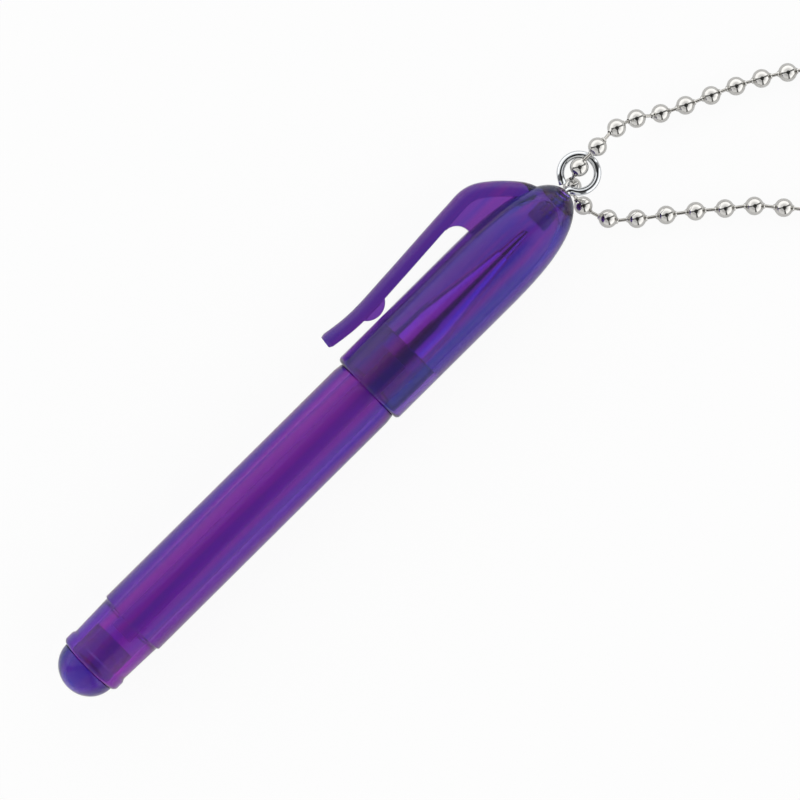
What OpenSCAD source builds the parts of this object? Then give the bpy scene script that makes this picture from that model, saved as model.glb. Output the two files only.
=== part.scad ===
// Capped mini ballpoint pen with a pocket clip, a screw eye and a loop of ball chain.
// The pen's axis is X. The origin is on it, in the middle of the barrel's grip.
// +X points to the screw eye, +Y to the pocket clip and +Z up from the table it lies on.

/* [Barrel] */
// Outside diameter of the grip
barrel_d = 9.45; // [8:0.05:11]
// Length of the grip, the straight part of the barrel
grip_len = 40.6; // [30:0.1:60]
// Wall of the barrel
barrel_wall = 1.625; // [1.2:0.025:1.8]
// Length of the eased edge in front of the grip
shoulder_len = 1.2; // [0.4:0.1:2]
// How far that edge draws in, on the radius
shoulder_drop = 0.15; // [0.05:0.05:0.2]
// Height of the shoulder from the grip down to the spigot
spigot_step = 0.275; // [0.25:0.025:0.5]
// Length of the spigot that enters the cap
spigot_len = 7.6; // [5:0.1:10]
// Eased edges of the barrel's steps
edge_ease = 0.15; // [0.05:0.05:0.2]

/* [Tail] */
// Height of the step from the grip down to the tail
tail_step = 0.25; // [0.2:0.05:0.5]
// Length of the tail, from the grip to the end band
tail_len = 5.8; // [4:0.1:9]
// How much the tail narrows towards the end band, on the radius
tail_taper = 0.175; // [0.1:0.025:0.25]
// Height of the rounded end band over the tail's front
band_rise = 0.05; // [0.025:0.025:0.2]
// Length of the end band
band_len = 2; // [1.6:0.1:2.4]
// Rounding of the end band's edges
band_round = 0.6; // [0.4:0.05:0.7]

/* [End plug] */
// How far the dome's edge stands in from the end band
dome_inset = 0.55; // [0.5:0.05:1]
// Length of the dome
dome_len = 3.77; // [2:0.01:4.5]
// Length of the plug's skirt inside the tail
skirt_len = 4.9; // [3:0.1:6]
// Wall of the skirt
skirt_wall = 0.8; // [0.5:0.1:1.2]
// Wall at the top of the hollow dome
dome_wall = 1; // [0.6:0.05:1.5]

/* [Nose cone] */
// Length of the collar pressed into the barrel
collar_len = 2.2; // [1.5:0.1:7]
// Step from the collar down to the nose
nose_step = 0.3; // [0.2:0.05:0.5]
// Length of the nose's near-straight base
nose_base_len = 4.5; // [2:0.1:6]
// Diameter at the front of that base
nose_kink_d = 5.4; // [4.6:0.1:5.5]
// Length of the cone in front of the base
nose_cone_len = 12; // [11:0.1:16]
// Wall of the nose cone at its mouth
nose_lip = 0.15; // [0.1:0.05:0.3]

/* [Refill] */
// Outside diameter of the refill tube
tube_d = 3; // [2.6:0.05:3.3]
// Wall of the refill tube
tube_wall = 0.5; // [0.3:0.05:0.6]
// Length of the refill tube
tube_len = 60; // [45:0.5:61]
// Empty length of tube behind the ink
tube_empty = 2.5; // [1:0.5:40]
// Length of the point's shank inside the tube
shank_len = 3; // [2:0.1:5]
// Step from the tube down to the point's body
point_step = 0.4; // [0.3:0.05:0.5]
// Length of the point's body in front of the tube
point_len = 3; // [2:0.1:4]
// Length over which the body narrows to the point's neck
point_taper = 4.5; // [3:0.1:6]
// Diameter of the point's neck, in the mouth of the nose cone
neck_d = 1.6; // [1.4:0.05:1.8]
// How far the writing ball stands out of the nose cone
reach = 4.4; // [3:0.1:5]
// Diameter of the writing ball
ball_d = 0.7; // [0.6:0.05:1]
// Bore of the ink channel behind the ball
channel_d = 0.4; // [0.3:0.05:0.5]
// Wall of the rolled lip that holds the ball
lip_wall = 0.07; // [0.05:0.01:0.1]
// How far the lip closes over the ball, on the radius
lip_hold = 0.014; // [0.01:0.002:0.03]

/* [Cap] */
// Wall of the cap round the spigot
cap_wall = 0.82; // [0.75:0.01:1.2]
// Rounding of the cap's mouth
mouth_r = 0.6; // [0.2:0.05:0.7]
// Width of the ledge in the cap that the spigot's end seats on
seat_ledge = 0.45; // [0.3:0.05:1.2]
// Room in front of the writing ball
tip_room = 1.5; // [0.8:0.1:2.5]
// Length over which the bore closes in the crown
bore_crown_len = 12; // [9:0.1:13]
// Wall at the top of the cap, round the boss
crown_wall = 2.2; // [2:0.1:3]
// Diameter of the boss inside the crown that takes the screw eye
boss_d = 3; // [2.4:0.1:3.4]
// Length of that boss, up to the top of the cap
boss_len = 5.7; // [4.5:0.1:8]
// Length of the rounded part of the cap
crown_len = 16.7; // [13:0.1:20]

/* [Clip] */
// Thickness of the clip
clip_t = 2; // [1.4:0.05:2.2]
// Width of the clip
clip_w = 3.4; // [2.4:0.1:4.2]
// Height of the clip's straight sides, under its domed face
clip_side = 0.9; // [0.5:0.05:1.2]
// Gap between the clip and the cap, beside the bump
clip_gap = 1.15; // [1:0.05:2]
// Distance of the clip's end from the cap's mouth
clip_end = 0.4; // [0:0.1:3]
// How far the clip's end kicks out
clip_kick = 0.55; // [0:0.05:1]
// How far the clip rises towards its bend
clip_rise = 1; // [0:0.05:1.2]
// Distance of the clip's bend from the top of the cap
clip_bend = 9.1; // [8:0.1:10]
// Distance of the end of its straight part from the top of the cap
clip_flat = 12.7; // [11.5:0.1:14]
// Distance of the clip's root from the top of the cap
clip_root = 4; // [3.5:0.1:5]
// Length over which the clip's end is eased
clip_ease = 0.4; // [0.2:0.05:0.6]
// Distance of the bump's middle from the cap's mouth
bump_back = 7.7; // [6:0.1:10]
// Radius of the bump
bump_r = 2.4; // [2:0.1:3]
// Gap left between the bump and the cap
bump_gap = 0.25; // [0.1:0.05:0.5]
// Width of the bump
bump_w = 2; // [1.2:0.1:2.4]
// Thickness of the web under the clip's bend
web_t = 2; // [0.8:0.1:2.2]
// Distance of the web's edge from the top of the cap
web_back = 14.4; // [13:0.1:15.5]
// Radius of the web's hollow edge
web_r = 1.98; // [1.6:0.02:2.2]

/* [Screw eye] */
// Diameter of the eye's wire
wire_d = 1; // [0.8:0.05:1.1]
// Inside diameter of the eye
eye_bore = 3.7; // [3.6:0.05:4.2]
// Height of the eye's middle above the top of the cap
eye_height = 2.7; // [2.5:0.05:3.4]
// Sideways shift of the eye from the pen's axis
eye_shift = 0.6; // [0:0.05:0.8]
// Radius of the bend that leads the shank into the eye
neck_bend = 0.8; // [0.7:0.05:1]
// Angle at which the wire's free end leaves the loop
eye_close = 150; // [130:1:155]
// Straight stretch at the wire's free end
wire_end = 0.7; // [0.4:0.05:0.9]
// Plastic left under the end of the screw
screw_floor = 1.4; // [1:0.1:2]

/* [Ball chain] */
// Diameter of a bead
bead_d = 2.4; // [2.2:0.05:2.5]
// Sheet thickness of a bead
bead_wall = 0.12; // [0.1:0.01:0.16]
// Diameter of a link's pin
pin_d = 0.42; // [0.3:0.02:0.44]
// Play of a pin in a bead's hole, on the radius
pin_play = 0.15; // [0.12:0.01:0.18]
// How far a link's head overlaps the hole that holds it, on the radius
head_grip = 0.03; // [0.02:0.01:0.04]
// Distance between the middles of a link's two heads
link_len = 2.6; // [2.55:0.01:2.65]

/* [Connector] */
// Sheet thickness of the connector
connector_wall = 0.24; // [0.2:0.02:0.3]
// How far the connector's end wall overlaps a bead, on the radius
connector_grip = 0.35; // [0.3:0.05:0.45]
// Room for a pin in the connector's slot, on each side
slot_play = 0.3; // [0.2:0.05:0.4]

/* [Clearances] */
// Between pressed pieces, on the radius
press_clear = 0.02; // [0.01:0.01:0.03]
// Between the cap and the spigot, on the radius
cap_clear = 0.04; // [0.02:0.01:0.08]
// Between the refill and the nose cone, on the radius
refill_clear = 0.05; // [0.03:0.01:0.08]
// Between the writing ball and its socket, on the radius
ball_clear = 0.02; // [0.01:0.01:0.03]
// Between faces that seat against each other
seat_clear = 0.05; // [0.02:0.01:0.1]
// Between an end bead and the connector's inside, on the radius
bead_clear = 0.16; // [0.1:0.02:0.2]

/* [Hidden] */
$fn = 64;

// Radii, from the barrel outwards to the cap and inwards to the writing ball
barrel_r = barrel_d / 2;
bore_r = barrel_r - barrel_wall;
spigot_r = barrel_r - spigot_step;
tail_r = barrel_r - tail_step;
band_r = tail_r + band_rise;
dome_r = band_r - dome_inset;
spigot_bore_r = spigot_r + cap_clear;
cap_r = spigot_bore_r + cap_wall;
cap_bore_r = spigot_bore_r - seat_ledge;
nose_r = bore_r - nose_step;
tube_r = tube_d / 2;
tube_bore_r = tube_r - tube_wall;
point_r = tube_r - point_step;
neck_r = neck_d / 2;
socket_r = ball_d / 2 + ball_clear;
wire_r = wire_d / 2;

// Stations along the pen's axis, from the tail to the top of the cap
tail_x = -grip_len / 2;
band_x = tail_x - tail_len;
end_x = band_x - band_len;
ease_x = grip_len / 2;
shoulder_x = ease_x + shoulder_len;
mouth_x = shoulder_x + seat_clear;
spigot_x = shoulder_x + spigot_len;
kink_x = spigot_x + nose_base_len;
front_x = kink_x + nose_cone_len;
tip_x = front_x + reach;
boss_x = tip_x + tip_room;
top_x = boss_x + boss_len;
bore_end_x = top_x - crown_wall;
crown_x = top_x - crown_len;
screw_x = boss_x + screw_floor;
neck_x = front_x - refill_clear;
taper_x = neck_x - point_taper;
point_x = taper_x - point_len;
shank_x = point_x - shank_len;
tube_x = point_x - tube_len;
ball_x = tip_x - ball_d / 2;

// The lip ends where its opening has closed to just under the ball
lip_hole_r = ball_d / 2 - lip_hold;
lip_x = ball_x + sqrt(pow(socket_r, 2) - pow(lip_hole_r, 2));

// Screw eye: the loop's middle, and the start of the bend that leads into it
eye_r = (eye_bore + wire_d) / 2;
eye_x = top_x + eye_height;
bend_x = eye_x - sqrt(pow(eye_r + neck_bend, 2) - pow(eye_shift + neck_bend, 2));
bend_turn = 90 - atan2(eye_shift + neck_bend, eye_x - bend_x);
loop_start = 270 - bend_turn;
loop_stop = eye_close + 360;
bend_steps = 6;
loop_steps = 40;
wire_sides = 12;

// Ball chain: bead middles measured from the eye's middle, from under its wire out along the
// lower run, through the connector and back along the upper run into the eye
lower_run = [[-1.7, -0.6, -1.8], [-2.3, -3.3, -3.71], [-1.2, -6.7, -4.11], [1.4, -9.3, -4.11],
    [4.4, -11.6, -4.11], [7.4, -13.9, -4.11], [10.3, -16.3, -4.11], [13.2, -18.7, -4.11],
    [15.7, -21.5, -4.11], [18.2, -24.3, -4.11], [21.1, -26.6, -4.11], [24.8, -27, -4.11],
    [28.2, -25.4, -3.71]];
upper_run = [[31.9, -21.7, -3.71], [33.5, -18.3, -4.11], [33.1, -14.6, -4.11], [30.9, -11.8, -4.11],
    [28.2, -9.6, -4.11], [25.3, -7.8, -4.11], [22.3, -6.2, -4.11], [19.2, -4.8, -4.11],
    [16, -3.4, -4.11], [13, -1.9, -3.9], [10.2, -0.2, -2.2], [7.4, 0.7, 0.1],
    [3.9, 0.7, 1.5], [0.5, 0.5, 0.8]];
beads = [for (p = concat(lower_run, upper_run)) p + [eye_x, eye_shift, 0]];
bead_count = len(beads);
last_lower = len(lower_run) - 1;
first_upper = len(lower_run);
bead_r = bead_d / 2;
bead_hole_r = pin_d / 2 + pin_play;
head_r = bead_hole_r + head_grip;
// Middle of the sheet, where a pin crosses it
sheet_r = bead_r - bead_wall / 2;

// Connector: a rolled tube round the two end beads
connector_r = bead_r + bead_clear + connector_wall;
connector_hole_r = bead_r - connector_grip;
connector_span = norm(beads[first_upper] - beads[last_lower]);
// An end wall stands just clear of the bead that its hole holds
end_wall_x = sqrt(pow(bead_r, 2) - pow(connector_hole_r, 2)) + bead_clear;
connector_len = connector_span + 2 * (end_wall_x + connector_wall);

// Cut-outs run this far past the faces they cut
over = 1;
// Steps along a rounded outline
arc_steps = 14;

function unit(v) = v / norm(v);

// Direction of a bead's own axis: along the loop, or along its one link at the connector
function bead_axis(i) =
    i == last_lower ? unit(beads[i] - beads[i - 1]) :
    i == first_upper ? unit(beads[i + 1] - beads[i]) :
    unit(beads[(i + 1) % bead_count] - beads[(i + bead_count - 1) % bead_count]);

// Rounded outline of a crown, as [radius, x] from its full radius to its top
function crown(r, x0, length) = [for (i = [0 : arc_steps])
    let (a = 90 * i / arc_steps) [r * cos(a), x0 + length * pow(sin(a), 2 / 3)]];

// Outline of a dome behind x0, as [radius, x] from its full radius to its top
function dome(r, x0, length) = [for (i = [0 : arc_steps])
    let (a = 90 * i / arc_steps) [r * cos(a), x0 - length * sin(a)]];

// Turns a shape so that its Z axis points along a direction
module aim(v) {
    rotate([0, acos(v.z / norm(v)), atan2(v.y, v.x)]) children();
}

// Turns an outline of [radius, x] about the pen's axis
module lathe() {
    rotate([0, 90, 0]) rotate_extrude() children();
}

// Sweeps a section of [outwards, sideways] along a path in the plane of the pen and the clip
module sweep(path, section, first_size = 1) {
    sides = len(section);
    last = len(path) - 1;
    points = [for (i = [0 : last])
        let (along = unit(path[min(i + 1, last)] - path[max(i - 1, 0)]),
            out = [-along.y, along.x], size = i == 0 ? first_size : 1)
        for (p = section) let (q = path[i] + out * p.x * size) [q.x, q.y, p.y * size]];
    walls = [for (i = [0 : last - 1], j = [0 : sides - 1])
        let (a = i * sides + j, b = i * sides + (j + 1) % sides)
        each [[a, b, a + sides], [b, b + sides, a + sides]]];
    near = [for (j = [1 : sides - 2]) [0, j + 1, j]];
    far = [for (j = [1 : sides - 2]) [0, j, j + 1] + last * sides * [1, 1, 1]];
    polyhedron(points, concat(walls, near, far));
}

module barrel() {
    color([0.36, 0.18, 0.6])
    lathe() difference() {
        union() {
            polygon([[0, end_x], [band_r - band_round, end_x], [band_r, end_x + band_round],
                [band_r, band_x - band_round], [tail_r - tail_taper, band_x],
                [tail_r, tail_x - edge_ease], [barrel_r, tail_x], [barrel_r, ease_x],
                [barrel_r - shoulder_drop, shoulder_x], [spigot_r, shoulder_x],
                [spigot_r, spigot_x - edge_ease], [spigot_r - edge_ease, spigot_x], [0, spigot_x]]);
            for (x = [end_x + band_round, band_x - band_round])
                translate([band_r - band_round, x]) circle(band_round);
        }
        translate([0, end_x - over]) square([bore_r, spigot_x - end_x + 2 * over]);
    }
}

module nose_cone() {
    rear_x = spigot_x - collar_len;
    collar_r = bore_r - press_clear;
    color([0.82, 0.82, 0.84])
    lathe() difference() {
        polygon([[0, rear_x], [collar_r, rear_x], [collar_r, spigot_x], [nose_r, spigot_x],
            [nose_kink_d / 2, kink_x], [neck_r + refill_clear + nose_lip, front_x], [0, front_x]]);
        polygon([[0, rear_x - over], [tube_r + refill_clear, rear_x - over],
            [tube_r + refill_clear, point_x + seat_clear], [point_r + refill_clear, point_x + seat_clear],
            [point_r + refill_clear, taper_x + seat_clear], [neck_r + refill_clear, neck_x],
            [neck_r + refill_clear, front_x + over], [0, front_x + over]]);
    }
}

module refill_tube() {
    color([0.85, 0.86, 0.9])
    lathe() translate([tube_bore_r, tube_x]) square([tube_wall, tube_len]);
}

module ink_column() {
    ink_x = tube_x + tube_empty;
    color([0.08, 0.08, 0.25])
    lathe() translate([0, ink_x]) square([tube_bore_r - press_clear, shank_x - seat_clear - ink_x]);
}

module point_socket() {
    shank_r = tube_bore_r - press_clear;
    color([0.75, 0.72, 0.62])
    difference() {
        lathe() difference() {
            polygon([[0, shank_x], [shank_r, shank_x], [shank_r, point_x], [point_r, point_x],
                [point_r, taper_x], [neck_r, neck_x], [neck_r, front_x], [lip_hole_r + lip_wall, lip_x],
                [0, lip_x]]);
            translate([0, shank_x - over]) square([channel_d / 2, ball_x - shank_x + over]);
        }
        translate([ball_x, 0, 0]) sphere(socket_r);
    }
}

module writing_ball() {
    color([0.6, 0.6, 0.62])
    translate([ball_x, 0, 0]) sphere(d = ball_d);
}

module end_plug() {
    skirt_r = bore_r - press_clear;
    inner_r = skirt_r - skirt_wall;
    dome_x = end_x - seat_clear;
    skirt_x = dome_x + skirt_len;
    color([0.3, 0.15, 0.52])
    lathe() difference() {
        polygon(concat([[0, skirt_x], [skirt_r, skirt_x], [skirt_r, dome_x]],
            dome(dome_r, dome_x, dome_len)));
        polygon(concat([[0, skirt_x + over], [inner_r, skirt_x + over]],
            dome(inner_r, dome_x, dome_len - dome_wall)));
    }
}

// Clip's middle line, in the plane of the pen and the clip, from its end to its foot in the crown
clip_y = cap_r + clip_gap + clip_t / 2;
bump_x = mouth_x + bump_back;
clip_line = [[mouth_x + clip_end, clip_y + clip_kick], [bump_x - bump_r, clip_y],
    [bump_x + 2 * bump_r, clip_y + clip_rise / 3], [top_x - clip_flat, clip_y + clip_rise],
    [top_x - clip_bend, clip_y + clip_rise],
    [top_x - (clip_bend + clip_root) / 2, cap_r + clip_gap + clip_t / 4],
    [top_x - clip_root, cap_r - clip_t / 2], [top_x - clip_root + clip_t / 2, cap_r - 1.5 * clip_t]];
clip_steps = 5;

// A point on the smooth curve through a line's points, for t from 0 to 1 on span i
function spline(line, i, t) =
    let (n = len(line) - 1, a = line[max(i - 1, 0)], b = line[i], c = line[i + 1], d = line[min(i + 2, n)])
    0.5 * (2 * b + (c - a) * t + (2 * a - 5 * b + 4 * c - d) * t * t + (3 * b - a - 3 * c + d) * t * t * t);

clip_path = concat([for (i = [0 : len(clip_line) - 2], j = [0 : clip_steps - 1])
    spline(clip_line, i, j / clip_steps)], [clip_line[len(clip_line) - 1]]);

// Cross-section of the clip as [outwards, sideways]: flat inside, domed outside
clip_section = concat([[-clip_t / 2, clip_w / 2]],
    [for (a = [0 : 30 : 180]) [(clip_t - clip_side) * sin(a) + clip_side - clip_t / 2, clip_w / 2 * cos(a)]],
    [[-clip_t / 2, -clip_w / 2]]);

module clip() {
    sweep(clip_path, clip_section, 1 - clip_ease / clip_t);
}

// Rounded bump inside the clip's end, which grips what the clip is pushed over
module clip_bump() {
    linear_extrude(bump_w, center = true) intersection() {
        translate([bump_x, cap_r + bump_gap + bump_r]) circle(bump_r);
        translate([bump_x - bump_r, cap_r]) square([2 * bump_r, clip_y - cap_r]);
    }
}

// Web that fills the corner between the clip's bend and the crown
module clip_web() {
    edge_x = top_x - web_back;
    bend = [for (p = clip_path) if (p.x > edge_x && p.y > cap_r - clip_t / 4) p];
    linear_extrude(web_t, center = true) difference() {
        polygon(concat([[edge_x, clip_y + clip_rise]], bend,
            [[bend[len(bend) - 1].x, cap_bore_r], [edge_x, cap_bore_r]]));
        translate([edge_x, cap_r]) circle(web_r);
    }
}

module cap() {
    seat_x = spigot_x + seat_clear;
    color([0.34, 0.16, 0.58])
    difference() {
        union() {
            lathe() union() {
                polygon(concat([[0, mouth_x], [cap_r - mouth_r, mouth_x],
                    [cap_r - mouth_r, mouth_x + mouth_r], [cap_r, mouth_x + mouth_r]],
                    crown(cap_r, crown_x, crown_len)));
                translate([cap_r - mouth_r, mouth_x + mouth_r]) circle(mouth_r);
            }
            clip();
            clip_bump();
            clip_web();
        }
        // The bore, with the boss for the screw eye left standing in its end
        lathe() difference() {
            polygon(concat([[0, mouth_x - over], [spigot_bore_r, mouth_x - over], [spigot_bore_r, seat_x],
                [cap_bore_r, seat_x]], crown(cap_bore_r, bore_end_x - bore_crown_len, bore_crown_len)));
            translate([0, boss_x]) square([boss_d / 2, boss_len]);
        }
        translate([screw_x - seat_clear, 0, 0]) rotate([0, 90, 0])
            cylinder(h = top_x - screw_x + over, r = wire_r + press_clear);
    }
}

// The eye's wire, from the inner end of its shank round the bend and the loop to its free end
function wire_path() =
    let (free = [eye_x, eye_shift] + eye_r * [cos(loop_stop), sin(loop_stop)])
    concat([[screw_x, 0]],
        [for (i = [0 : bend_steps - 1]) let (a = 90 - bend_turn * i / bend_steps)
            [bend_x, -neck_bend] + neck_bend * [cos(a), sin(a)]],
        [for (i = [0 : loop_steps]) let (a = loop_start + (loop_stop - loop_start) * i / loop_steps)
            [eye_x, eye_shift] + eye_r * [cos(a), sin(a)]],
        [free + wire_end * [-sin(loop_stop), cos(loop_stop)]]);

module eye_screw() {
    color([0.85, 0.85, 0.86])
    sweep(wire_path(), [for (a = [0 : 360 / wire_sides : 359]) wire_r * [sin(a), cos(a)]]);
}

module bead() {
    difference() {
        sphere(bead_r);
        sphere(bead_r - bead_wall);
        cylinder(h = 2 * bead_r + 2 * over, r = bead_hole_r, center = true);
    }
}

module chain_beads() {
    color([0.78, 0.77, 0.74])
    for (i = [0 : bead_count - 1]) translate(beads[i]) aim(bead_axis(i)) bead();
}

// One dumb-bell pin, through the facing holes of two beads
module link(i, j) {
    start = beads[i] + sheet_r * bead_axis(i);
    stop = beads[j] - sheet_r * bead_axis(j);
    middle = (start + stop) / 2;
    translate(middle) aim(stop - start) {
        cylinder(h = link_len, d = pin_d, center = true);
        for (side = [-1, 1]) translate([0, 0, side * link_len / 2]) sphere(head_r);
    }
}

module chain_links() {
    color([0.7, 0.69, 0.66])
    for (i = [0 : bead_count - 1]) if (i != last_lower) link(i, (i + 1) % bead_count);
}

module chain_connector() {
    inner_len = connector_len - 2 * connector_wall;
    slot_w = pin_d + 2 * slot_play;
    middle = (beads[last_lower] + beads[first_upper]) / 2;
    color([0.8, 0.79, 0.76])
    translate(middle) aim(beads[first_upper] - beads[last_lower]) difference() {
        cylinder(h = connector_len, r = connector_r, center = true);
        cylinder(h = inner_len, r = connector_r - connector_wall, center = true);
        cylinder(h = connector_len + 2 * over, r = connector_hole_r, center = true);
        // The slot lets a link's pin in, and the round mouth in its middle lets the bead in
        translate([-connector_r - over, -slot_w / 2, -connector_len / 2 - over])
            cube([connector_r + over, slot_w, connector_len + 2 * over]);
        rotate([0, -90, 0]) cylinder(h = connector_r + over, r = bead_r + bead_clear / 2);
    }
}

barrel();
nose_cone();
refill_tube();
ink_column();
point_socket();
writing_ball();
end_plug();
cap();
eye_screw();
chain_beads();
chain_links();
chain_connector();
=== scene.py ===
"""Looks of the keyring pen: a capped mini ballpoint of translucent plastic on a loop of ball chain."""

import logging
import math
from collections.abc import Callable
from dataclasses import dataclass
from enum import Enum

import bmesh
import bpy
from bmesh.types import BMEdge, BMesh, BMVert
from bpy.types import Material, Mesh, Node, NodeSocket, NodeTree, Object
from mathutils import Matrix, Vector


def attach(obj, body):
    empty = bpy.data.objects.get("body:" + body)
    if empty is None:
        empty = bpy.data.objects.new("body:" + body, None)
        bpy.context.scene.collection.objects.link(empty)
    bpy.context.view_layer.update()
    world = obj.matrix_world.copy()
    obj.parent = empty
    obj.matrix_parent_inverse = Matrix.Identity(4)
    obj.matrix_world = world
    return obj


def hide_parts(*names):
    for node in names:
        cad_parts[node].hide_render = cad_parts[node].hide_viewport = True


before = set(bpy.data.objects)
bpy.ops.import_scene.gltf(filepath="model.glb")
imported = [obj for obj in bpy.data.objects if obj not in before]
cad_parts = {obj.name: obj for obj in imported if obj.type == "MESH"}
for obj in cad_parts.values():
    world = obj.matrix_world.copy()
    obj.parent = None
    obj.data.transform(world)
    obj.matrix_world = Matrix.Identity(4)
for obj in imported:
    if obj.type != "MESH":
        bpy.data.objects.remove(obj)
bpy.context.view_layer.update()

LOG = logging.getLogger("keyring_pen")

# Sizes in this file are millimetres, and Blender works in metres
MM = 0.001

# Points closer than this are one point
SAME = 1e-4 * MM

# An outline is a list of (x along the pen, distance from its axis) pairs in millimetres
Outline = list[tuple[float, float]]

# Two ends of a range of values
Span = tuple[float, float]


class Body(Enum):
    """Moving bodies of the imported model."""

    BARREL = "barrel"
    CAP = "cap"
    BALL = "writing_ball"
    CHAIN = "chain"
    CONNECTOR = "connector"


class Slot(Enum):
    """Material slots of the record."""

    BARREL = "barrel_plastic"
    CAP = "cap_plastic"
    PLUG = "plug_plastic"
    NOSE = "plated_brass"
    REFILL = "refill_plastic"
    INK = "ink"
    POINT = "point_metal"
    BALL = "ball_metal"
    WIRE = "plated_wire"
    CHAIN = "chain_steel"
    LINK = "link_steel"


def linear(colour: str) -> tuple[float, float, float, float]:
    """Turns an sRGB hex colour to the linear values that Blender's sockets take.

    Args:
        colour: Six hex digits, red first.

    Returns:
        Linear red, green, blue and an alpha of 1.
    """
    parts = [int(colour[i : i + 2], 16) / 255 for i in (0, 2, 4)]
    # The sRGB curve is straight near black and a power above it
    red, green, blue = [c / 12.92 if c <= 0.04045 else ((c + 0.055) / 1.055) ** 2.4 for c in parts]
    return red, green, blue, 1.0


def add_node(tree: NodeTree, kind: str, settings: dict | None = None, links: dict | None = None) -> Node:
    """Adds a node with its settings and links.

    Args:
        tree: Node tree that gets the node.
        kind: Blender's name of the node type.
        settings: Values by socket name or number, or by the node's own property name.
        links: Output sockets by the name or number of the input that each one feeds.

    Returns:
        The new node.
    """
    node = tree.nodes.new(kind)
    for key, value in (settings or {}).items():
        if isinstance(key, str) and hasattr(node, key):
            setattr(node, key, value)
        else:
            node.inputs[key].default_value = value
    for key, output in (links or {}).items():
        tree.links.new(output, node.inputs[key])
    return node


def new_material(name: str) -> tuple[Material, NodeTree]:
    """Starts an empty node material.

    Args:
        name: Name of the material.

    Returns:
        The material and its empty node tree.
    """
    material = bpy.data.materials.new(name)
    material.use_nodes = True
    material.node_tree.nodes.clear()
    return material, material.node_tree


def drawn_marks(
    tree: NodeTree, stretch: tuple[float, float, float], size_mm: float, detail: float, grain: float = 0.5
) -> NodeSocket:
    """Marks of a piece's making, fixed to the piece and drawn out along its axes.

    Args:
        tree: Node tree of the material.
        stretch: Pace of the marks along each axis, where a small one draws them out.
        size_mm: Size of the marks in millimetres.
        detail: Number of finer layers.
        grain: Strength of each finer layer.

    Returns:
        Output from 0 to 1.
    """
    place = add_node(tree, "ShaderNodeTexCoord").outputs["Object"]
    drawn = add_node(tree, "ShaderNodeMapping", {"Scale": stretch}, {"Vector": place}).outputs["Vector"]
    spots = {"Scale": 1 / (size_mm * MM), "Detail": detail, "Roughness": grain}
    return add_node(tree, "ShaderNodeTexNoise", spots, {"Vector": drawn}).outputs["Fac"]


@dataclass(frozen=True)
class Finish:
    """Finish of a piece, under its material's name."""

    name: str

    def dress(self, tree: NodeTree) -> dict[str, NodeSocket]:
        """Adds the finish to an empty node tree and gives what the material's output takes."""
        raise NotImplementedError

    def material(self) -> Material:
        """Builds the finish.

        Returns:
            The material.
        """
        material, tree = new_material(self.name)
        add_node(tree, "ShaderNodeOutputMaterial", {}, self.dress(tree))
        return material


@dataclass(frozen=True)
class MouldedPolystyrene(Finish):
    """Dyed polystyrene from a polished mould: glossy, a little milky, deeper where light's path is long."""

    # Colour that a thick piece lets through, and how strongly each metre takes the rest away
    dye: str = "D572E7"
    density: float = 1080.0
    # The dye lies in streaks along the flow: a redder tint, a bluer one, and the width of a streak
    warm: str = "F47CF0"
    cool: str = "9C7CF8"
    streak_mm: float = 2.4
    streak_edge: Span = (0.4, 0.6)
    ior: float = 1.59
    # Most light goes through, and the rest makes the plastic a little milky
    clear: float = 0.91
    # A moulded skin throws back a little less light than a polished one
    skin: float = 0.25
    # The mould's polish varies a little over patches of this many millimetres
    patch_mm: float = 1.2
    roughness: Span = (0.03, 0.09)
    # Faint sink and flow marks, as a bump of this height, drawn out along the pen
    flow_mm: float = 0.06
    flow_strength: float = 0.5
    stretch: tuple[float, float, float] = (0.02, 1.0, 1.0)
    detail: float = 3.0

    def dress(self, tree: NodeTree) -> dict[str, NodeSocket]:
        """Adds the finish.

        Args:
            tree: Empty node tree of the material.

        Returns:
            Outputs that the material's output takes.
        """
        patches = drawn_marks(tree, self.stretch, self.patch_mm, self.detail)
        streaks = drawn_marks(tree, self.stretch, self.streak_mm, self.detail)
        edge = {"From Min": self.streak_edge[0], "From Max": self.streak_edge[1]}
        share = add_node(tree, "ShaderNodeMapRange", edge, {"Value": streaks})
        # The mix node's sockets go by number: 0 is the share, 2 and 3 are numbers, 6 and 7 are colours
        tints = {"data_type": "RGBA", 6: linear(self.warm), 7: linear(self.cool)}
        tint = add_node(tree, "ShaderNodeMix", tints, {0: share.outputs["Result"]})
        span = {"To Min": self.roughness[0], "To Max": self.roughness[1]}
        polish = add_node(tree, "ShaderNodeMapRange", span, {"Value": patches})
        height = {"Strength": self.flow_strength, "Distance": self.flow_mm * MM}
        flow = add_node(tree, "ShaderNodeBump", height, {"Height": patches})
        shader = add_node(
            tree,
            "ShaderNodeBsdfPrincipled",
            {
                "IOR": self.ior,
                "Transmission Weight": self.clear,
                "Specular Tint": (self.skin, self.skin, self.skin, 1.0),
            },
            {
                "Base Color": tint.outputs[2],
                "Roughness": polish.outputs["Result"],
                "Normal": flow.outputs["Normal"],
            },
        )
        dye = {"Color": linear(self.dye), "Density": self.density}
        inside = add_node(tree, "ShaderNodeVolumeAbsorption", dye)
        return {"Surface": shader.outputs["BSDF"], "Volume": inside.outputs["Volume"]}


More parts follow.
